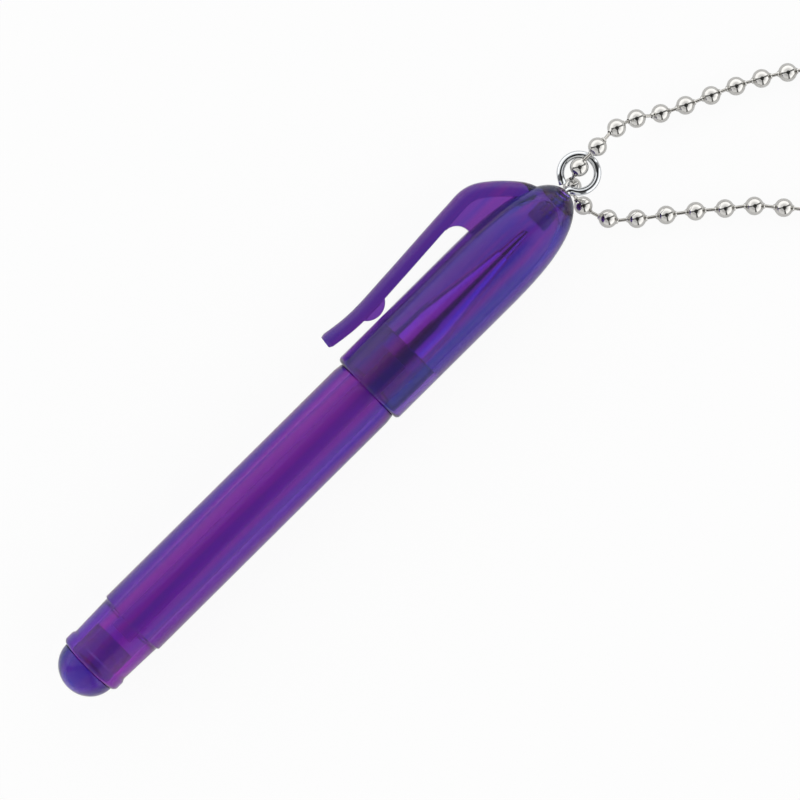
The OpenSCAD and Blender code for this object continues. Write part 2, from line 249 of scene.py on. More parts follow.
@dataclass(frozen=True)
class NaturalPolypropylene(Finish):
    """Extruded polypropylene without dye: milky, soft gloss, with faint drawing lines along the tube."""

    milk: str = "E4F2FE"
    cloud: str = "D8EAFC"
    # Width of the lines, drawn coarser than real ones so that they show
    line_mm: float = 0.35
    stretch: tuple[float, float, float] = (0.03, 1.0, 1.0)
    detail: float = 2.0
    roughness: Span = (0.3, 0.45)
    ior: float = 1.49

    def dress(self, tree: NodeTree) -> dict[str, NodeSocket]:
        """Adds the finish.

        Args:
            tree: Empty node tree of the material.

        Returns:
            Outputs that the material's output takes.
        """
        lines = drawn_marks(tree, self.stretch, self.line_mm, self.detail)
        tones = {"data_type": "RGBA", 6: linear(self.milk), 7: linear(self.cloud)}
        tone = add_node(tree, "ShaderNodeMix", tones, {0: lines})
        span = {"To Min": self.roughness[0], "To Max": self.roughness[1]}
        gloss = add_node(tree, "ShaderNodeMapRange", span, {"Value": lines})
        links = {"Base Color": tone.outputs[2], "Roughness": gloss.outputs["Result"]}
        shader = add_node(tree, "ShaderNodeBsdfPrincipled", {"IOR": self.ior}, links)
        return {"Surface": shader.outputs["BSDF"]}


@dataclass(frozen=True)
class PasteInk(Finish):
    """Oil paste ink in a refill: blue, smooth and wet, a little streaked where it has run down the wall."""

    deep: str = "3A48B0"
    thin: str = "5566CC"
    streak_mm: float = 0.8
    stretch: tuple[float, float, float] = (0.1, 1.0, 1.0)
    detail: float = 3.0
    roughness: float = 0.2
    ior: float = 1.5

    def dress(self, tree: NodeTree) -> dict[str, NodeSocket]:
        """Adds the finish.

        Args:
            tree: Empty node tree of the material.

        Returns:
            Outputs that the material's output takes.
        """
        streaks = drawn_marks(tree, self.stretch, self.streak_mm, self.detail)
        tones = {"data_type": "RGBA", 6: linear(self.deep), 7: linear(self.thin)}
        tone = add_node(tree, "ShaderNodeMix", tones, {0: streaks})
        wet = {"IOR": self.ior, "Roughness": self.roughness}
        shader = add_node(tree, "ShaderNodeBsdfPrincipled", wet, {"Base Color": tone.outputs[2]})
        return {"Surface": shader.outputs["BSDF"]}


@dataclass(frozen=True)
class PlatedMetal(Finish):
    """Plated or turned metal: mirror bright, with marks of the tool, die or roll that shaped it."""

    bright: str = "DAD8D2"
    dull: str = "BDBAB2"
    roughness: Span = (0.06, 0.16)
    # Marks of this size, drawn coarser than real ones so that they show, and stretched along or across
    # the pen's axis by the three factors
    mark_mm: float = 0.4
    stretch: tuple[float, float, float] = (1.0, 1.0, 1.0)
    mark_depth_mm: float = 0.0015
    mark_strength: float = 0.6
    detail: float = 4.0
    grain: float = 0.6

    def dress(self, tree: NodeTree) -> dict[str, NodeSocket]:
        """Adds the finish.

        Args:
            tree: Empty node tree of the material.

        Returns:
            Outputs that the material's output takes.
        """
        marks = drawn_marks(tree, self.stretch, self.mark_mm, self.detail, self.grain)
        tones = {"data_type": "RGBA", 6: linear(self.bright), 7: linear(self.dull)}
        tone = add_node(tree, "ShaderNodeMix", tones, {0: marks})
        span = {"To Min": self.roughness[0], "To Max": self.roughness[1]}
        polish = add_node(tree, "ShaderNodeMapRange", span, {"Value": marks})
        depth = {"Strength": self.mark_strength, "Distance": self.mark_depth_mm * MM}
        relief = add_node(tree, "ShaderNodeBump", depth, {"Height": marks})
        shader = add_node(
            tree,
            "ShaderNodeBsdfPrincipled",
            {"Metallic": 1.0},
            {
                "Base Color": tone.outputs[2],
                "Roughness": polish.outputs["Result"],
                "Normal": relief.outputs["Normal"],
            },
        )
        return {"Surface": shader.outputs["BSDF"]}


def lathe(outline: Outline, steps: int = 128, ring: bool = True) -> BMesh:
    """Spins an outline about the pen's axis.

    Args:
        outline: Points of the outline in order.
        steps: Faces round the axis.
        ring: Whether the last point joins the first; otherwise both ends lie on the axis.

    Returns:
        A closed mesh in metres.
    """
    bm = bmesh.new()
    verts = [bm.verts.new((x * MM, r * MM, 0.0)) for x, r in outline]
    pairs = list(zip(verts, verts[1:]))
    if ring:
        pairs.append((verts[-1], verts[0]))
    edges = [bm.edges.new(pair) for pair in pairs]
    bmesh.ops.spin(
        bm,
        geom=verts + edges,
        cent=(0, 0, 0),
        axis=(1, 0, 0),
        angle=2 * math.pi,
        steps=steps,
        use_merge=True,
    )
    tidy(bm)
    return bm


def tidy(bm: BMesh) -> None:
    """Merges doubles of a closed mesh and points its faces outwards."""
    bmesh.ops.remove_doubles(bm, verts=bm.verts, dist=SAME)
    bmesh.ops.recalc_face_normals(bm, faces=bm.faces)


def ease_edges(
    bm: BMesh,
    width: float,
    sharp: float = 35.0,
    keep: Callable[[BMEdge], bool] | None = None,
    faces: int = 3,
) -> None:
    """Rounds the sharp edges of a mesh, as a mould or a tool leaves them.

    Args:
        bm: Mesh to change.
        width: Width of the rounding in millimetres.
        sharp: Smallest angle in degrees between two faces that counts as sharp.
        keep: Test that an edge has to pass, if given.
        faces: Faces across a rounding.
    """
    edges = [
        e
        for e in bm.edges
        if e.is_manifold and e.calc_face_angle(0.0) > math.radians(sharp) and (keep is None or keep(e))
    ]
    bmesh.ops.bevel(
        bm,
        geom=edges,
        offset=width * MM,
        offset_type="OFFSET",
        affect="EDGES",
        segments=faces,
        profile=0.5,
        material=-1,
        clamp_overlap=True,
    )


def arc(middle: tuple[float, float], radius: float, start: float, stop: float, steps: int) -> Outline:
    """Points on a circular arc from one angle in degrees to another, both ends included."""
    angles = [math.radians(start + (stop - start) * i / steps) for i in range(steps + 1)]
    return [(middle[0] + radius * math.cos(a), middle[1] + radius * math.sin(a)) for a in angles]


def crown(
    radius: float, start: float, length: float, stop_r: float = 0.0, steps: int = 40, blunt: float = 2 / 3
) -> Outline:
    """Blunt rounded outline of a cap's crown, from its full radius to its top.

    Args:
        radius: Full radius.
        start: Station along the pen where the crown starts.
        length: Length of the crown.
        stop_r: Radius at which the outline stops.
        steps: Number of steps along the outline.
        blunt: Power that shapes it: 1 gives an ellipse, and less a blunter end.

    Returns:
        The points from the full radius to the top.
    """
    last = math.acos(stop_r / radius)
    angles = [last * i / steps for i in range(steps + 1)]
    return [(start + length * math.sin(a) ** blunt, radius * math.cos(a)) for a in angles]


def spline(points: list[Vector], steps: int) -> list[Vector]:
    """Smooth curve through points.

    Args:
        points: Points that the curve goes through.
        steps: Steps on each span.

    Returns:
        Points along the curve, both ends included.
    """
    line = []
    last = len(points) - 1
    for i in range(last):
        a, b, c, d = points[max(i - 1, 0)], points[i], points[i + 1], points[min(i + 2, last)]
        for j in range(steps):
            t = j / steps
            bend = (2 * a - 5 * b + 4 * c - d) * t * t + (3 * b - a - 3 * c + d) * t * t * t
            line.append(0.5 * (2 * b + (c - a) * t + bend))
    return line + [points[-1].copy()]


def lay_along(middle: Vector, direction: Vector) -> Matrix:
    """Place of a piece that is made about X at the origin, laid along a direction.

    Args:
        middle: Where its middle goes, in millimetres.
        direction: Where its X points.

    Returns:
        The place in metres.
    """
    tilt = math.acos(max(-1.0, min(1.0, direction.normalized().z)))
    aim = Matrix.Rotation(math.atan2(direction.y, direction.x), 4, "Z") @ Matrix.Rotation(tilt, 4, "Y")
    return Matrix.Translation(middle * MM) @ aim @ Matrix.Rotation(-math.pi / 2, 4, "Y")


def add_copy(target: BMesh, source: BMesh, place: Matrix) -> None:
    """Adds a placed copy of one mesh to another.

    Args:
        target: Mesh that gets the copy.
        source: Mesh that is copied.
        place: Where the copy goes.
    """
    copy = source.copy()
    copy.transform(place)
    mesh = bpy.data.meshes.new("copy")
    copy.to_mesh(mesh)
    copy.free()
    target.from_mesh(mesh)
    bpy.data.meshes.remove(mesh)


def shade(mesh: Mesh, sharp: float = 30.0) -> None:
    """Shades a mesh smooth, apart from edges above an angle in degrees."""
    mesh.shade_smooth()
    mesh.set_sharp_from_angle(angle=math.radians(sharp))


def to_object(name: str, bm: BMesh, sharp: float = 30.0) -> Object:
    """Makes a smooth-shaded object of a mesh.

    Args:
        name: Name of the object.
        bm: Finished mesh in metres, freed here.
        sharp: Angle in degrees above which an edge is shaded as an edge.

    Returns:
        The object, linked to the scene.
    """
    mesh = bpy.data.meshes.new(name)
    bm.to_mesh(mesh)
    bm.free()
    shade(mesh, sharp)
    piece = bpy.data.objects.new(name, mesh)
    bpy.context.scene.collection.objects.link(piece)
    return piece


def join(base: Object, tool: Object, operation: str = "UNION") -> None:
    """Joins one object to another, or cuts it out, and deletes the second.

    Args:
        base: Object that is changed.
        tool: Object that is joined or cut out.
        operation: Blender's name of the Boolean operation.
    """
    step = base.modifiers.new("join", "BOOLEAN")
    step.operation = operation
    step.solver = "EXACT"
    step.object = tool
    made = bpy.data.meshes.new_from_object(base.evaluated_get(bpy.context.evaluated_depsgraph_get()))
    base.modifiers.clear()
    old, base.data = base.data, made
    bpy.data.meshes.remove(old)
    bpy.data.objects.remove(tool)


def settle(piece: Object, finish: Finish, body: Body, slot: Slot, *nodes: str) -> Object:
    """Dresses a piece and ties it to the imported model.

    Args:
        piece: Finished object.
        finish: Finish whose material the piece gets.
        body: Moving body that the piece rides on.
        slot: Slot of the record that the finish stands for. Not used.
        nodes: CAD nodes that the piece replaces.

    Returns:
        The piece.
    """
    piece.data.materials.clear()
    piece.data.materials.append(finish.material())
    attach(piece, body.value)
    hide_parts(*nodes)
    LOG.info("%s: %d faces, rides on %s", piece.name, len(piece.data.polygons), body.value)
    return piece


@dataclass
class BallChain:
    """Loop of ball chain through the wire eye, with its folded connector."""

    eye: tuple[float, float, float] = (59.9, 0.6, 0.0)
    bead_r: float = 1.2
    bead_wall: float = 0.12
    hole_r: float = 0.36
    # At each hole the sheet is drawn out into a short flared collar, closed in a little at its end
    collar_len: float = 0.14
    collar_foot_r: float = 0.6
    collar_r: float = 0.35
    collar_hole_r: float = 0.29
    pin_r: float = 0.21
    head_r: float = 0.39
    link_len: float = 2.6
    connector_r: float = 1.6
    connector_wall: float = 0.24
    connector_hole_r: float = 0.85
    end_gap: float = 0.16
    slot_w: float = 1.02
    mouth_r: float = 1.28
    connector_ease: float = 0.108
    # Steps along the curves, sides round the axes, and the angle that shades as an edge
    collar_steps: int = 6
    outer_steps: int = 22
    inner_steps: int = 12
    head_steps: int = 8
    sides: int = 40
    pin_sides: int = 20
    connector_sides: int = 64
    mouth_sides: int = 48
    sharp: float = 40.0
    # Bead middles from the middle of the eye: out under its wire along the lower run, and back along
    # the upper run from the connector into the eye
    lower: tuple[tuple[float, float, float], ...] = (
        (-1.7, -0.6, -1.8), (-2.3, -3.3, -3.71), (-1.2, -6.7, -4.11), (1.4, -9.3, -4.11),
        (4.4, -11.6, -4.11), (7.4, -13.9, -4.11), (10.3, -16.3, -4.11), (13.2, -18.7, -4.11),
        (15.7, -21.5, -4.11), (18.2, -24.3, -4.11), (21.1, -26.6, -4.11), (24.8, -27, -4.11),
        (28.2, -25.4, -3.71),
    )
    upper: tuple[tuple[float, float, float], ...] = (
        (31.9, -21.7, -3.71), (33.5, -18.3, -4.11), (33.1, -14.6, -4.11), (30.9, -11.8, -4.11),
        (28.2, -9.6, -4.11), (25.3, -7.8, -4.11), (22.3, -6.2, -4.11), (19.2, -4.8, -4.11),
        (16, -3.4, -4.11), (13, -1.9, -3.9), (10.2, -0.2, -2.2), (7.4, 0.7, 0.1), (3.9, 0.7, 1.5),
        (0.5, 0.5, 0.8),
    )

    def route(self) -> list[Vector]:
        """Bead middles in the shared frame, from one end in the connector through the eye to the other."""
        return [Vector(p) + Vector(self.eye) for p in self.upper + self.lower]

    def axis(self, i: int) -> Vector:
        """Direction of a bead's holes: along the chain, or along its only link at an end."""
        line = self.route()
        return (line[min(i + 1, len(line) - 1)] - line[max(i - 1, 0)]).normalized()

    def bead(self) -> BMesh:
        """Hollow ball of rolled sheet, drawn out into a flared collar at each pole.

        Returns:
            The ball about X, at the origin.
        """
        inner_r = self.bead_r - self.bead_wall
        foot = math.degrees(math.asin(self.collar_foot_r / self.bead_r))
        hole = math.degrees(math.asin(self.hole_r / inner_r))
        foot_x = self.bead_r * math.cos(math.radians(foot))
        reach = self.bead_r + self.collar_len - foot_x
        flare = self.collar_foot_r - self.collar_r
        steps = [i / self.collar_steps for i in range(1, self.collar_steps + 1)]
        collar = [(foot_x + reach * t, self.collar_r + flare * (1 - t) ** 2) for t in steps]
        collar.append((self.bead_r + self.collar_len, self.collar_hole_r))
        left = [(-x, r) for x, r in collar]
        outside = arc((0, 0), self.bead_r, foot, 180 - foot, self.outer_steps)
        inside = arc((0, 0), inner_r, 180 - hole, hole, self.inner_steps)
        return lathe(outside + left + inside + collar[::-1], self.sides)

    def beads(self) -> Object:
        """All the balls of the chain as one piece.

        Returns:
            The piece, undressed.
        """
        bm = bmesh.new()
        ball = self.bead()
        for i, middle in enumerate(self.route()):
            add_copy(bm, ball, lay_along(middle, self.axis(i)))
        ball.free()
        return to_object("ball_chain_beads", bm, self.sharp)

    def link(self) -> BMesh:
        """Dumb-bell pin: a wire with a headed end inside each of two balls.

        Returns:
            The pin about X, at the origin.
        """
        half = self.link_len / 2
        neck = math.degrees(math.asin(self.pin_r / self.head_r))
        right = arc((half, 0), self.head_r, 180 - neck, 0, self.head_steps)
        left = arc((-half, 0), self.head_r, 180, neck, self.head_steps)
        return lathe(left + right, self.pin_sides, ring=False)

    def links(self) -> Object:
        """All the pins of the chain as one piece.

        Returns:
            The piece, undressed.
        """
        bm = bmesh.new()
        pin = self.link()
        line = self.route()
        sheet_r = self.bead_r - self.bead_wall / 2
        for i in range(len(line) - 1):
            start = line[i] + sheet_r * self.axis(i)
            stop = line[i + 1] - sheet_r * self.axis(i + 1)
            add_copy(bm, pin, lay_along((start + stop) / 2, stop - start))
        pin.free()
        return to_object("ball_chain_links", bm, self.sharp)

    def connector(self) -> Object:
        """Folded coupling: a rolled tube with a slot, a round mouth and turned-in ends round the end balls.

        Returns:
            The piece, undressed.
        """
        line = self.route()
        span = line[0] - line[-1]
        wall, r, hole_r = self.connector_wall, self.connector_r, self.connector_hole_r
        half = span.length / 2 + math.sqrt(self.bead_r**2 - hole_r**2) + self.end_gap
        outline = [
            (-half, hole_r), (-half, r - wall), (half, r - wall), (half, hole_r),
            (half + wall, hole_r), (half + wall, r), (-half - wall, r), (-half - wall, hole_r),
        ]
        bm = lathe(outline, self.connector_sides)
        ease_edges(bm, self.connector_ease)
        piece = to_object("chain_coupling", bm)
        # Slot and mouth open to local +Z, which the CAD connector's slot faces too
        up = Matrix.Translation((0, 0, r * MM))
        slot_bm = bmesh.new()
        bmesh.ops.create_cube(slot_bm, size=1.0)
        # The slot's tool is about twice as long as the tube and half sunk in it
        size = Matrix.Diagonal((4 * half * MM, 2 * r * MM, self.slot_w * MM, 1))
        upright = up @ Matrix.Rotation(math.pi / 2, 4, "X")
        bmesh.ops.transform(slot_bm, matrix=upright @ size, verts=slot_bm.verts)
        join(piece, to_object("slot_tool", slot_bm), "DIFFERENCE")
        mouth_bm = bmesh.new()
        bmesh.ops.create_cone(
            mouth_bm,
            cap_ends=True,
            segments=self.mouth_sides,
            radius1=self.mouth_r * MM,
            radius2=self.mouth_r * MM,
            depth=2 * r * MM,
            matrix=up,
        )
        join(piece, to_object("mouth_tool", mouth_bm), "DIFFERENCE")
        piece.data.transform(lay_along((line[0] + line[-1]) / 2, span))
        shade(piece.data)
        return piece

    def build(self) -> None:
        steel = PlatedMetal(
            "nickel_plated_rolled_steel",
            bright="D6D5D2",
            dull="B6B4B0",
            roughness=(0.05, 0.12),
            mark_mm=0.5,
        )
        wire = PlatedMetal(
            "nickel_plated_pin_wire", bright="C0BEB9", dull="9E9B96", roughness=(0.15, 0.3), mark_mm=0.25
        )
        beads = settle(self.beads(), steel, Body.CHAIN, Slot.CHAIN, "chain_beads")
        links = settle(self.links(), wire, Body.CHAIN, Slot.LINK, "chain_links")
        coupling = settle(self.connector(), steel, Body.CONNECTOR, Slot.CHAIN, "chain_connector")


@dataclass
class Studio:
    """White table, soft studio light and the camera that looks straight down on the pen."""

    # Picture's middle in the shared frame, the turn of the camera and the width of the picture
    middle: tuple[float, float] = (23.57, -3.84)
    turn: float = -44.77
    picture_w: float = 101.31
    lens: float = 200.0
    sensor: float = 36.0
    # How far the camera sees, and the table's side, both in metres
    sight: float = 20.0
    floor_size: float = 4.0
    floor_z: float = -5.31
    # How much of the floor's white is its own, seen directly and seen in metal or through plastic. The
    # rest is paint of this paleness, which keeps the object's shadow
    floor_white: float = 0.93
    floor_beyond: float = 0.45
    floor_paint: float = 0.85
    # Strength of the tent's white walls, of its dim wall and of its dark seams and opening
    tent_white: float = 1.25
    tent_dim: float = 0.75
    dark: float = 0.15
    # The walls are brighter low down, where the lamps stand behind them, than overhead
    tent_low: float = 1.4
    tent_high: float = 0.85
    tent_fall: Span = (0.4, 0.85)
    # Side of the picture that the dim wall stands on, and how its edge fades
    dim_wall: float = 237.0
    dim_edge: Span = (0.45, 0.6)
    # The camera looks in through a round opening, with its middle beside the zenith
    opening_side: float = -45.0
    opening_lean: float = 5.0
    opening_half: float = 28.0
    opening_fade: float = 0.03
    # Sides of the picture on which the seams between the walls stand, and their width
    seams: tuple[float, ...] = (25.0, 190.0, 285.0)
    seam_w: float = 0.09
    bounces: int = 28

    def camera(self) -> None:
        """Puts the camera over the pen."""
        data = bpy.data.cameras.new("camera")
        data.lens = self.lens
        data.sensor_width = self.sensor
        data.clip_end = self.sight
        away = self.picture_w * self.lens / self.sensor
        camera = bpy.data.objects.new("camera", data)
        camera.location = (self.middle[0] * MM, self.middle[1] * MM, away * MM)
        camera.rotation_euler = (0, 0, math.radians(self.turn))
        bpy.context.scene.collection.objects.link(camera)
        bpy.context.scene.camera = camera

    def floor(self) -> None:
        """Lays the white table top under the pen."""
        bm = bmesh.new()
        bmesh.ops.create_grid(
            bm,
            x_segments=1,
            y_segments=1,
            size=self.floor_size / 2,
            matrix=Matrix.Translation((0, 0, self.floor_z * MM)),
        )
        table = to_object("table_top", bm)
        material, tree = new_material("white_table_top")
        path = add_node(tree, "ShaderNodeLightPath").outputs
        own = {"operation": "MULTIPLY", 1: self.floor_white}
        straight = add_node(tree, "ShaderNodeMath", own, {0: path["Is Camera Ray"]}).outputs[0]
        rays = {0: path["Is Glossy Ray"], 1: path["Is Transmission Ray"]}
        beyond = add_node(tree, "ShaderNodeMath", {"operation": "MAXIMUM"}, rays).outputs[0]
        share = add_node(tree, "ShaderNodeMix", {3: self.floor_beyond}, {0: beyond, 2: straight}).outputs[0]
        pale = (self.floor_paint, self.floor_paint, self.floor_paint, 1)
        paint = add_node(tree, "ShaderNodeBsdfDiffuse", {"Color": pale}).outputs[0]
        white = add_node(tree, "ShaderNodeEmission", {"Color": (1, 1, 1, 1), "Strength": 1.0}).outputs[0]
        mix = add_node(tree, "ShaderNodeMixShader", {}, {0: share, 1: paint, 2: white}).outputs["Shader"]
        add_node(tree, "ShaderNodeOutputMaterial", {}, {"Surface": mix})
        table.data.materials.append(material)

    def toward(self, side: float, rise: float = 0.0) -> Vector:
        """Direction to a side of the picture, anticlockwise from its right, at a rise, both in degrees."""
        a, b = math.radians(side + self.turn), math.radians(rise)
        return Vector((math.cos(b) * math.cos(a), math.cos(b) * math.sin(a), math.sin(b)))

    def world(self) -> None:
        """White tent of three walls round the table, with dark seams and an opening for the camera."""
        world = bpy.data.worlds.new("studio")
        bpy.context.scene.world = world
        world.use_nodes = True
        tree = world.node_tree
        tree.nodes.clear()
        way = add_node(tree, "ShaderNodeTexCoord").outputs["Generated"]
        lean = {"operation": "DOT_PRODUCT"}
        times = {"operation": "MULTIPLY"}
        soft = {"interpolation_type": "SMOOTHSTEP"}
        # The wall on the picture's lower left gets less light than the other two
        wall = add_node(tree, "ShaderNodeVectorMath", lean | {1: self.toward(self.dim_wall)}, {0: way})
        fade = soft | {"From Min": self.dim_edge[0], "From Max": self.dim_edge[1]}
        light = add_node(
            tree,
            "ShaderNodeMapRange",
            fade | {"To Min": self.tent_white, "To Max": self.tent_dim},
            {"Value": wall.outputs["Value"]},
        ).outputs["Result"]
        zenith = self.toward(self.opening_side, 90 - self.opening_lean)
        near = add_node(tree, "ShaderNodeVectorMath", lean | {1: zenith}, {0: way})
        edge = math.cos(math.radians(self.opening_half))
        fade = soft | {"From Min": edge, "From Max": edge + self.opening_fade}
        opening = add_node(
            tree,
            "ShaderNodeMapRange",
            fade | {"To Min": 1.0, "To Max": self.dark},
            {"Value": near.outputs["Value"]},
        ).outputs["Result"]
        light = add_node(tree, "ShaderNodeMath", times, {0: light, 1: opening}).outputs[0]
        fade = soft | {"From Min": self.seam_w, "From Max": 2 * self.seam_w}
        for seam in self.seams:
            across = add_node(tree, "ShaderNodeVectorMath", lean | {1: self.toward(seam + 90)}, {0: way})
            aside = add_node(tree, "ShaderNodeMath", {"operation": "ABSOLUTE"}, {0: across.outputs["Value"]})
            clear = add_node(
                tree,
                "ShaderNodeMapRange",
                fade | {"To Min": self.dark, "To Max": 1.0},
                {"Value": aside.outputs[0]},
            ).outputs["Result"]
            # A seam darkens only its own side of the tent
            ahead = add_node(tree, "ShaderNodeVectorMath", lean | {1: self.toward(seam)}, {0: way})
            under = {"operation": "LESS_THAN", 1: 0.0}
            behind = add_node(tree, "ShaderNodeMath", under, {0: ahead.outputs["Value"]}).outputs[0]
            most = add_node(tree, "ShaderNodeMath", {"operation": "MAXIMUM"}, {0: clear, 1: behind})
            light = add_node(tree, "ShaderNodeMath", times, {0: light, 1: most.outputs[0]}).outputs[0]
        height = add_node(tree, "ShaderNodeSeparateXYZ", {}, {0: way}).outputs["Z"]
        fade = soft | {"From Min": self.tent_fall[0], "From Max": self.tent_fall[1]}
        fall = add_node(
            tree,
            "ShaderNodeMapRange",
            fade | {"To Min": self.tent_low, "To Max": self.tent_high},
            {"Value": height},
        ).outputs["Result"]
        light = add_node(tree, "ShaderNodeMath", times, {0: light, 1: fall}).outputs[0]
        # The camera itself sees plain white behind the table
        path = add_node(tree, "ShaderNodeLightPath").outputs
        seen = add_node(tree, "ShaderNodeMix", {3: 1.0}, {0: path["Is Camera Ray"], 2: light}).outputs[0]
        glow = add_node(tree, "ShaderNodeBackground", {"Color": (1, 1, 1, 1)}, {"Strength": seen})
        add_node(tree, "ShaderNodeOutputWorld", {}, {"Surface": glow.outputs["Background"]})

    def build(self) -> None:
        """Builds the table, the light and the world round it."""
        self.floor()
        self.world()
        scene = bpy.context.scene
        scene.view_settings.view_transform = "Standard"
        # Light crosses up to eight plastic walls on its way down to the table and back
        scene.cycles.max_bounces = self.bounces
        scene.cycles.transmission_bounces = self.bounces


@dataclass
class Barrel:
    """Moulded barrel tube with its plug in the tail."""

    bore_r: float = 3.1
    grip_r: float = 4.725
    tail_r: float = 4.475
    tail_taper: float = 0.175
    band_r: float = 4.525
    band_round: float = 0.6
    spigot_r: float = 4.45
    shoulder_drop: float = 0.15
    ease: float = 0.15
    end_x: float = -28.1
    band_x: float = -26.1
    tail_x: float = -20.3
    grip_end_x: float = 20.3
    shoulder_x: float = 21.5
    spigot_x: float = 29.1
    dome_r: float = 3.975
    dome_len: float = 3.77
    dome_x: float = -28.15
    skirt_r: float = 3.08
    skirt_wall: float = 0.8
    skirt_len: float = 4.9
    dome_wall: float = 1.0
    # Roundings of sharp edges, and steps along the curves
    edge_round: float = 0.08
    plug_round: float = 0.1
    meet_steps: int = 8
    band_steps: int = 10
    dome_steps: int = 28

    def shell(self) -> Object:
        """Barrel tube: rounded end band, tapered tail, straight grip and the spigot for the cap.

        Returns:
            The piece, undressed.
        """
        edge_r = self.band_r - self.band_round
        foot = Vector((self.band_x, self.tail_r - self.tail_taper))
        middle = Vector((self.band_x - self.band_round, edge_r))
        # The band's round starts where the slope up from the tail meets it
        slope = Vector((self.band_x - self.band_round, self.band_r)) - foot
        share = ((foot - middle).length_squared - self.band_round**2) / slope.length_squared
        meet = foot + slope * share - middle
        start = math.degrees(math.atan2(meet.y, meet.x))
        outline = [
            (self.end_x, self.bore_r),
            (self.spigot_x, self.bore_r),
            (self.spigot_x, self.spigot_r - self.ease),
            (self.spigot_x - self.ease, self.spigot_r),
            (self.shoulder_x, self.spigot_r),
            (self.shoulder_x, self.grip_r - self.shoulder_drop),
            (self.grip_end_x, self.grip_r),
            (self.tail_x, self.grip_r),
            (self.tail_x - self.ease, self.tail_r),
            (foot.x, foot.y),
        ]
        band = arc((middle.x, middle.y), self.band_round, start, 90, self.meet_steps)
        band += arc((self.end_x + self.band_round, edge_r), self.band_round, 90, 180, self.band_steps)
        bm = lathe(outline + band)
        ease_edges(bm, self.edge_round)
        return to_object("barrel_tube", bm)

    def plug(self) -> Object:
        """Tail plug: a hollow dome outside the barrel and a skirt pressed into its bore.

        Returns:
            The piece, undressed.
        """
        skirt_x = self.dome_x + self.skirt_len
        inner_r = self.skirt_r - self.skirt_wall
        angles = [math.radians(90 * i / self.dome_steps) for i in range(self.dome_steps + 1)]
        outside = [(self.dome_x - self.dome_len * math.cos(a), self.dome_r * math.sin(a)) for a in angles]
        depth = self.dome_len - self.dome_wall
        inside = [(self.dome_x - depth * math.cos(a), inner_r * math.sin(a)) for a in angles]
        skirt = [(self.dome_x, self.skirt_r), (skirt_x, self.skirt_r), (skirt_x, inner_r)]
        bm = lathe(outside + skirt + inside[::-1], ring=False)
        ease_edges(bm, self.plug_round)
        return to_object("tail_plug", bm)

    def build(self) -> None:
        """Builds and dresses the barrel and its plug."""
        plastic = MouldedPolystyrene("violet_polystyrene_barrel")
        settle(self.shell(), plastic, Body.BARREL, Slot.BARREL, "barrel")
        plug_plastic = MouldedPolystyrene(
            "violet_polystyrene_plug", dye="A16ADF", density=1050.0, warm="D08CF7", cool="908CFC"
        )
        settle(self.plug(), plug_plastic, Body.BARREL, Slot.PLUG, "end_plug")


